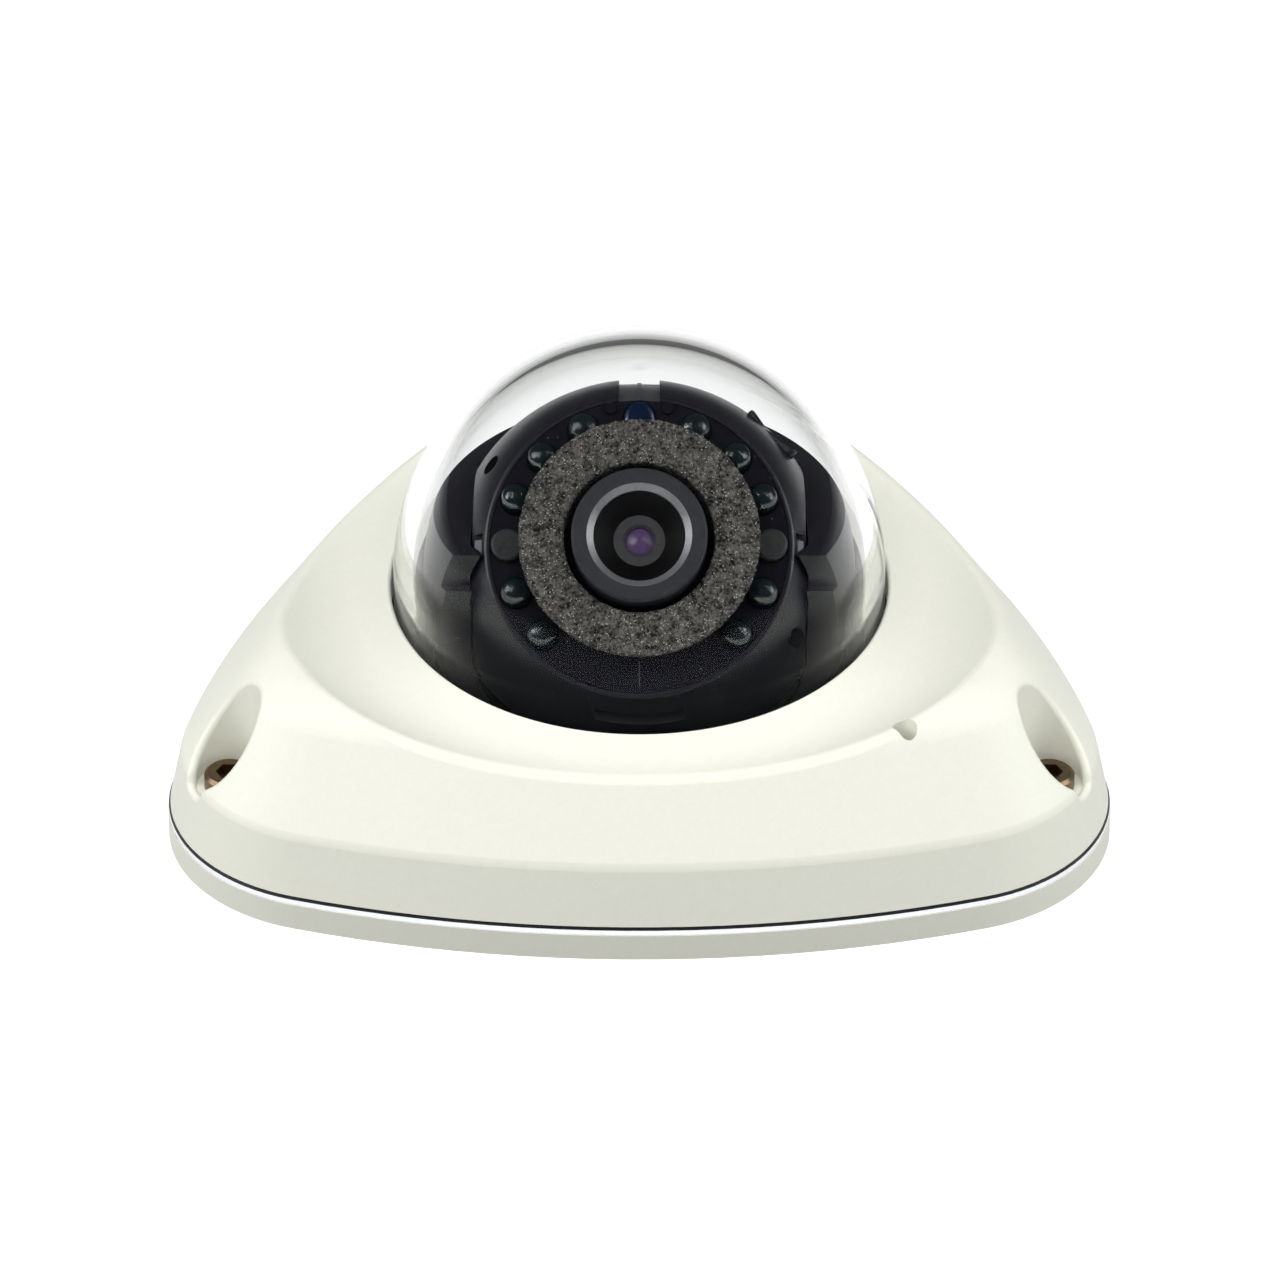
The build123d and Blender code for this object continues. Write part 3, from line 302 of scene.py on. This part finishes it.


# %% [markdown]
# The lens head is dark grey on its flat front, where the anodising was turned away and blasted. Inside its
# funnel it is painted near black: painted shade, since the funnel lies in shadow. Both are one piece, so a mask
# splits them by the distance from the lens axis.

# %% A mask round the lens axis
def make_funnel_shade_mask():
    """0 inside a radius round the lens axis and 1 outside it, on object coordinates."""
    tree = bpy.data.node_groups.new("round_lens_axis", "ShaderNodeTree")
    socket(tree, "Radius", "NodeSocketFloat", "INPUT", 0.0068)
    socket(tree, "Mask", "NodeSocketFloat", "OUTPUT")
    start = add_node(tree, "NodeGroupInput")
    end = add_node(tree, "NodeGroupOutput")
    where = add_node(tree, "ShaderNodeTexCoord")
    out = add_node(tree, "ShaderNodeVectorMath", operation="SUBTRACT")
    out.inputs[1].default_value = ball_centre
    off_axis = add_node(tree, "ShaderNodeVectorMath", operation="CROSS_PRODUCT")
    off_axis.inputs[1].default_value = lens_dir
    far = add_node(tree, "ShaderNodeVectorMath", operation="LENGTH")
    beyond = add_node(tree, "ShaderNodeMath", operation="GREATER_THAN")
    link = tree.links.new
    link(where.outputs["Object"], out.inputs[0])
    link(out.outputs["Vector"], off_axis.inputs[0])
    link(off_axis.outputs["Vector"], far.inputs[0])
    link(far.outputs["Value"], beyond.inputs[0])
    link(start.outputs["Radius"], beyond.inputs[1])
    link(beyond.outputs["Value"], end.inputs["Mask"])
    return tree


def paint_funnel_shade(material, radius, shade_colour):
    """Mixes painted shade, near black, into a finish inside a radius round the lens axis, where the funnel lies in
    shadow.
    """
    tree = material.node_tree
    shader = tree.nodes["Principled BSDF"]
    before = shader.inputs["Base Color"].links[0].from_socket
    mask = place_group(tree, make_funnel_shade_mask(), Radius=radius)
    mixed = add_node(tree, "ShaderNodeMix", data_type="RGBA")
    mixed.inputs["A"].default_value = (*shade_colour, 1.0)
    tree.links.new(mask.outputs["Mask"], mixed.inputs["Factor"])
    tree.links.new(before, mixed.inputs["B"])
    tree.links.new(mixed.outputs["Result"], shader.inputs["Base Color"])
    print("darkened", material.name, "inside", round(radius / MM, 1), "mm")


# %% Painted, metal, plastic and rubber finishes
finishes = {
    "ivory_coat": finish("ivory_powder_coat", (0.79, 0.795, 0.70), (0.85, 0.855, 0.76), (0.42, 0.55),
                         (2600.0, 0.16, 0.00006)),
    "bare_aluminium": finish("machined_aluminium", (0.62, 0.63, 0.66), (0.75, 0.76, 0.78), (0.25, 0.4),
                             (1800.0, 0.1, 0.00004), metallic=1.0),
    "seal_rubber": finish("seal_rubber", (0.012, 0.012, 0.013), (0.025, 0.025, 0.026), (0.6, 0.8),
                          (2200.0, 0.3, 0.00006)),
    "steel": finish("plated_steel", (0.5, 0.5, 0.5), (0.66, 0.66, 0.67), (0.25, 0.38), (1500.0, 0.1, 0.00004),
                    metallic=1.0),
    "dark_steel": finish("bronzed_steel", (0.14, 0.095, 0.06), (0.24, 0.17, 0.11), (0.3, 0.45),
                         (1500.0, 0.15, 0.00004), metallic=1.0),
    "chip_black": finish("chip_epoxy", (0.015, 0.015, 0.016), (0.03, 0.03, 0.032), (0.5, 0.65),
                         (3000.0, 0.25, 0.00004)),
    "circuit_board": finish("solder_mask", (0.01, 0.07, 0.035), (0.02, 0.12, 0.06), (0.3, 0.4),
                            (900.0, 0.1, 0.00003), coat=0.3),
    "black_plastic": finish("textured_black_plastic", (0.003, 0.003, 0.006), (0.008, 0.008, 0.013), (0.34, 0.5),
                            (2400.0, 0.22, 0.00005), specks=(700.0, 0.06, (0.2, 0.2, 0.22)), level=0.1),
    "satin_black": finish("satin_black_plastic", (0.004, 0.004, 0.007), (0.009, 0.009, 0.014), (0.26, 0.36),
                          (1500.0, 0.08, 0.00004), specks=(600.0, 0.05, (0.25, 0.25, 0.27))),
    "button_plastic": finish("key_plastic", (0.55, 0.55, 0.5), (0.65, 0.65, 0.6), (0.4, 0.5), (2000.0, 0.1, 0.00004)),
    "cap_rubber": finish("grained_cap", (0.006, 0.006, 0.007), (0.028, 0.028, 0.03), (0.45, 0.7),
                         (1700.0, 0.75, 0.00022)),
    "brass_ring": finish("turned_brass", (0.45, 0.32, 0.12), (0.6, 0.45, 0.2), (0.25, 0.35), (1200.0, 0.1, 0.00004),
                         metallic=1.0),
    "insert_grey": finish("polished_grey_insert", (0.035, 0.035, 0.037), (0.055, 0.055, 0.058), (0.3, 0.4),
                          (1200.0, 0.06, 0.00004)),
    "bezel_grey": finish("turned_grey_bezel", (0.16, 0.16, 0.17), (0.24, 0.24, 0.25), (0.3, 0.42),
                         (1800.0, 0.1, 0.00004), metallic=0.6),
    "lens_black": finish("black_anodised", (0.020, 0.020, 0.023), (0.036, 0.036, 0.041), (0.42, 0.58),
                         (2800.0, 0.3, 0.00006), level=0.15),
}
# The near black inside the funnel is painted shade, not the colour of the anodising.
FUNNEL_SHADE_RADIUS = 6.95
paint_funnel_shade(finishes["lens_black"], FUNNEL_SHADE_RADIUS * MM, (0.002, 0.002, 0.002))


# %% [markdown]
# Clear and smoky resins let light in. The bubble is real thick glass to the eye, but a shadow ray passes straight
# through it, because a path tracer would otherwise leave the eyeball inside it in the dark. Its hard coat calms
# head-on reflections, so a refraction without any is mixed in where the Fresnel effect is weak, and the rim keeps its
# full gloss.

# %% Clear and smoky finishes
HEAD_ON_GLARE = 0.065
EDGE_GLARE = 0.22


def clear_finish(name, colour, index, rough, calm):
    """A refracting material that lets shadow rays through.

    calm is the share of its head-on reflections that is taken away.
    """
    material = bpy.data.materials.new(name)
    material.use_nodes = True
    tree = material.node_tree
    shader = tree.nodes["Principled BSDF"]
    shader.inputs["Base Color"].default_value = (*colour, 1.0)
    shader.inputs["IOR"].default_value = index
    shader.inputs["Roughness"].default_value = rough
    shader.inputs["Transmission Weight"].default_value = 1.0
    output = tree.nodes["Material Output"]
    unmirrored = add_node(tree, "ShaderNodeBsdfRefraction", in_IOR=index, in_Roughness=rough)
    unmirrored.inputs["Color"].default_value = (*colour, 1.0)
    edge = add_node(tree, "ShaderNodeFresnel", in_IOR=index)
    share = add_node(tree, "ShaderNodeMapRange", in_From_Min=HEAD_ON_GLARE, in_From_Max=EDGE_GLARE,
                     in_To_Min=calm, in_To_Max=0.0)
    coated = add_node(tree, "ShaderNodeMixShader")
    tree.links.new(edge.outputs["Fac"], share.inputs["Value"])
    tree.links.new(share.outputs["Result"], coated.inputs["Fac"])
    tree.links.new(shader.outputs["BSDF"], coated.inputs[1])
    tree.links.new(unmirrored.outputs["BSDF"], coated.inputs[2])
    ray = add_node(tree, "ShaderNodeLightPath")
    pass_through = add_node(tree, "ShaderNodeBsdfTransparent")
    pass_through.inputs["Color"].default_value = (*colour, 1.0)
    either = add_node(tree, "ShaderNodeMixShader")
    tree.links.new(ray.outputs["Is Shadow Ray"], either.inputs["Fac"])
    tree.links.new(coated.outputs["Shader"], either.inputs[1])
    tree.links.new(pass_through.outputs["BSDF"], either.inputs[2])
    tree.links.new(either.outputs["Shader"], output.inputs["Surface"])
    print("clear finish", name)
    return material


finishes["clear_polycarbonate"] = clear_finish("clear_polycarbonate", (0.94, 0.945, 0.943), 1.585, 0.0, 0.94)
finishes["led_resin"] = finish("smoky_emitter_resin", (0.001, 0.004, 0.005), (0.002, 0.009, 0.011), (0.13, 0.17),
                               (400.0, 0.02, 0.00002), level=1.0)
finishes["sensor_glass"] = finish("blue_filter_resin", (0.001, 0.004, 0.018), (0.002, 0.010, 0.035), (0.12, 0.2),
                                  (400.0, 0.02, 0.00002))
finishes["lens_glass"] = finish("coated_lens_glass", (0.02, 0.008, 0.035), (0.13, 0.075, 0.19), (0.13, 0.18),
                                (250.0, 0.0, 0.00002), level=1.0)
turned_ring = finish("turned_inner_ring", (0.03, 0.03, 0.032), (0.05, 0.05, 0.053), (0.25, 0.35),
                     (1600.0, 0.1, 0.00003), level=0.8)
# The sponge's colour follows its grain, near black in the low points and with pale specks on top. It is partly the
# sponge's own charcoal grey and partly painted shade in the pores and painted highlight on the cell walls.
finishes["foam"] = finish("open_cell_sponge", (0.004, 0.004, 0.004), (0.12, 0.115, 0.107), (0.8, 0.95),
                          (2300.0, 1.0, 0.00035), specks=(2700.0, 0.26, (0.34, 0.33, 0.31)), level=0.05,
                          contrast=4.0)

# %% Give every CAD node its finish
slot_of = {part["node"]: part["material_slot"] for part in frame["record"]["subparts"]}
for node_name, node in nodes.items():
    node.data.materials.clear()
    node.data.materials.append(turned_ring if node_name == "lens_inner_ring" else finishes[slot_of[node_name]])
print("dressed", len(nodes), "nodes in", len(finishes), "finishes")

# %% [markdown]
# ## Foam ring
# A ring of open-cell sponge seals the lens against the bubble, so that the infrared light beside it can't glance off
# the bubble into the lens. It is punched from a sheet, so its edges are soft and its skin is all pores. It could be a
# lathe of smooth points, but pores show on the outline too: so a round-cornered profile is spun into a ring and
# divided, and two noise textures push its points in and out. Every face is divided three times here, which makes the
# ring several times denser than pores of this size need.

# %% Spin the sponge's profile round the lens axis
def in_eye(points, name):
    """A flat outline of (out, along) points in millimetres, in the eyeball's frame."""
    bpy.ops.object.select_all(action="DESELECT")
    bpy.ops.mesh.primitive_circle_add(vertices=len(points), radius=1.0, location=(0, 0, 0))
    made = bpy.context.object
    made.name = name
    made.data.name = name
    for vertex, (out, along) in zip(made.data.vertices, points):
        vertex.co = Vector((out * MM, 0.0, along * MM))
    return made


def soft_corners(corners, radius, steps=4):
    """Rounds each corner of a closed outline."""
    rounded = []
    for i, corner in enumerate(corners):
        here = Vector(corner)
        before = (Vector(corners[i - 1]) - here).normalized()
        after = (Vector(corners[(i + 1) % len(corners)]) - here).normalized()
        for step in range(steps + 1):
            t = step / steps
            start = here + before * radius
            end = here + after * radius
            rounded.append(tuple(start.lerp(here, t).lerp(here.lerp(end, t), t)))
    return rounded


foam_back, foam_front = (depth / MM for depth in along_lens("foam_ring"))
foam_inner, foam_outer = (span / MM for span in round_lens("foam_ring"))
FOAM_LEAN = 1.4
FOAM_SKIN = 0.12
FOAM_ROUND = 0.7
FOAM_STEPS = 230
foam_profile = soft_corners([(foam_inner + FOAM_SKIN, foam_back), (foam_outer - FOAM_LEAN, foam_back),
                             (foam_outer - FOAM_SKIN, foam_front - FOAM_SKIN),
                             (foam_inner + FOAM_SKIN, foam_front - FOAM_SKIN)], FOAM_ROUND)
sponge = in_eye(foam_profile, "foam_sponge")
bpy.ops.object.mode_set(mode="EDIT")
bpy.ops.mesh.select_mode(type="EDGE")
bpy.ops.mesh.select_all(action="SELECT")
bpy.ops.mesh.spin(steps=FOAM_STEPS, angle=2 * math.pi, center=(0, 0, 0), axis=(0, 0, 1))
bpy.ops.mesh.select_all(action="SELECT")
bpy.ops.mesh.remove_doubles(threshold=0.00001)
bpy.ops.mesh.normals_make_consistent(inside=False)
bpy.ops.object.mode_set(mode="OBJECT")
print("sponge ring", len(sponge.data.vertices), "points before division")

# %% Divide it and push the pores in
FOAM_DIVISIONS = (2.4, 1.2, 0.6)


def divide(piece, length):
    """Halves the edges longer than a length in metres.

    Points and faces that were selected before stay selected, so their shorter edges are halved too.
    """
    for edge in piece.data.edges:
        a, b = (piece.data.vertices[i].co for i in edge.vertices)
        edge.select = (a - b).length > length
    bpy.ops.object.mode_set(mode="EDIT")
    bpy.ops.mesh.subdivide(number_cuts=1)
    bpy.ops.object.mode_set(mode="OBJECT")


for limit in FOAM_DIVISIONS:
    divide(sponge, limit * MM)
for name, scale, depth in (("pores", 0.42, 0.30), ("lumps", 2.6, 0.16)):
    texture = bpy.data.textures.new(name, "CLOUDS")
    texture.noise_scale = scale * MM
    texture.noise_depth = 1
    push = sponge.modifiers.new(name, "DISPLACE")
    push.texture = texture
    push.strength = depth * MM
    push.mid_level = 0.55
    bpy.ops.object.modifier_apply(modifier=name)
sponge.data.transform(eye_frame)
sponge.data.update()
for polygon in sponge.data.polygons:
    polygon.use_smooth = True
sponge.data.materials.append(finishes["foam"])
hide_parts("foam_ring")
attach(sponge, "eyeball")
print("sponge", len(sponge.data.polygons), "faces")

# %% [markdown]
# ## Small moulded details
# A moulded part is known by its small things: a slim slotted rib on the ball's shoulder, a latch tongue in each side
# notch and the fine line that the mould left down the plate. The rib starts as a torus, is pulled long in edit mode
# and is bent by a modifier. Its bend has the opposite sign to the ball's curve, so its ends lift off the ball: a
# positive angle would lay them down. The tongues and the line are bars with inset and bevelled faces.

# %% A rib on the ball's shoulder
def settle(piece, place, look, along):
    """Moves a piece made at the origin to a place in the eyeball's frame, its z along look and its x towards along."""
    up = Vector(look).normalized()
    side = (Vector(along) - up * Vector(along).dot(up)).normalized()
    turn = Matrix((side, up.cross(side), up)).transposed().to_4x4()
    piece.data.transform(eye_frame @ Matrix.Translation(Vector(place) * MM) @ turn)
    piece.data.update()


def dress(piece, body, slot):
    """Gives a new piece its finish and the body it rides on."""
    piece.data.materials.append(finishes[slot])
    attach(piece, body)
    print("made", piece.name, len(piece.data.polygons), "faces")


RIB_LENGTH = 9.6
RIB_SWELL = 0.75
RIB_THICK = 0.22
RIB_SINK = 0.05
RIB_LONGEST_EDGE = 1.1
RIB_DIVISIONS = 3
BALL_RADIUS = 29.8
bpy.ops.object.select_all(action="DESELECT")
bpy.ops.mesh.primitive_torus_add(major_radius=RIB_SWELL * MM, minor_radius=RIB_THICK * MM, major_segments=32,
                                 minor_segments=12, location=(0, 0, 0))
rib = bpy.context.object
rib.name = "shoulder_rib"
rib.data.name = "shoulder_rib"
for way in (-1, 1):
    for vertex in rib.data.vertices:
        vertex.select = vertex.co.x * way > 0.01 * MM
    for edge in rib.data.edges:
        edge.select = all(rib.data.vertices[i].select for i in edge.vertices)
    for face in rib.data.polygons:
        face.select = all(rib.data.vertices[i].select for i in face.vertices)
    bpy.ops.object.mode_set(mode="EDIT")
    bpy.ops.mesh.select_mode(type="VERT")
    bpy.ops.transform.translate(value=(way * (RIB_LENGTH / 2 - RIB_SWELL) * MM, 0, 0))
    bpy.ops.object.mode_set(mode="OBJECT")
for _ in range(RIB_DIVISIONS):
    divide(rib, RIB_LONGEST_EDGE * MM)
curl = rib.modifiers.new("curl", "SIMPLE_DEFORM")
curl.deform_method = "BEND"
curl.deform_axis = "Y"
curl.angle = -RIB_LENGTH / BALL_RADIUS
bpy.ops.object.modifier_apply(modifier="curl")
bpy.ops.object.shade_smooth()
rib_way = Vector((20.27, 19.35, 10.1)).normalized()
settle(rib, rib_way * (BALL_RADIUS - RIB_SINK), rib_way, (6.5, -6.8, 1.0))
dress(rib, "eyeball", "satin_black")

# %% [markdown]
# The ball's two halves snap together, and each side notch shows the end of a latch. It could be cut into the shell,
# but a bar of its own keeps its edges sharp: a cube is sized and bevelled, and its top face is inset and sunk.

# %% Latch tongues in the side notches
def bar(name, width, length, height, edge):
    """A bevelled bar with its top face inset and sunk a little."""
    bpy.ops.object.select_all(action="DESELECT")
    bpy.ops.mesh.primitive_cube_add(size=1.0, location=(0, 0, 0))
    made = bpy.context.object
    made.name = name
    made.data.name = name
    bpy.ops.object.mode_set(mode="EDIT")
    bpy.ops.mesh.select_all(action="SELECT")
    bpy.ops.transform.resize(value=(width * MM, length * MM, height * MM))
    bpy.ops.mesh.bevel(offset=edge * MM, segments=2, affect="EDGES")
    bpy.ops.object.mode_set(mode="OBJECT")
    for face in made.data.polygons:
        face.select = face.normal.z > 0.99
    bpy.ops.object.mode_set(mode="EDIT")
    bpy.ops.mesh.select_mode(type="FACE")
    bpy.ops.mesh.inset(thickness=edge * MM, depth=-edge * MM / 2)
    bpy.ops.object.mode_set(mode="OBJECT")
    return made


for side, name in ((-1, "latch_left"), (1, "latch_right")):
    latch = bar(name, 2.6, 1.5, 0.9, 0.12)
    settle(latch, (side * 24.0, 0.0, 17.2), (side * 0.55, 0.0, 0.83), (0.0, 1.0, 0.0))
    dress(latch, "eyeball", "satin_black")

# %% [markdown]
# Two halves of a mould meet in a hairline ridge. It is the same bar again, long and very low, on the plate's face.

# %% The mould's parting line down the plate
LINE_BACK = 0.6
plate_front = along_lens("led_plate")[1] / MM - LINE_BACK
line = bar("parting_line", 0.14, 3.9, 0.10, 0.03)
settle(line, (0.0, -19.6, plate_front), (0.0, 0.0, 1.0), (1.0, 0.0, 0.0))
dress(line, "eyeball", "satin_black")

# %% [markdown]
# ## Floor
# The floor is one pale plane that runs far past the picture, so the studio camera sees no edge. It glows a little, as
# a light table does, so it is white from there, and it doesn't throw light up at the cover's front wall. Seen from low
# down it still goes grey towards the horizon, because most of its brightness comes from the lamps.

# %% Floor
FLOOR_SIZE = 12.0
FLOOR_GLOW = 0.3
bpy.ops.object.select_all(action="DESELECT")
bpy.ops.mesh.primitive_plane_add(size=FLOOR_SIZE, location=(0, 0, 0))
floor = bpy.context.object
floor.name = "studio_floor"
floor.data.name = "studio_floor"
light_table = finish("light_table", (0.90, 0.90, 0.90), (0.92, 0.92, 0.92), (0.9, 1.0),
                     (4.0, 0.0, 0.0001), level=0.0)
table_shader = light_table.node_tree.nodes["Principled BSDF"]
table_shader.inputs["Emission Color"].default_value = (1.0, 1.0, 1.0, 1.0)
table_shader.inputs["Emission Strength"].default_value = FLOOR_GLOW
floor.data.materials.append(light_table)
floor.visible_diffuse = False
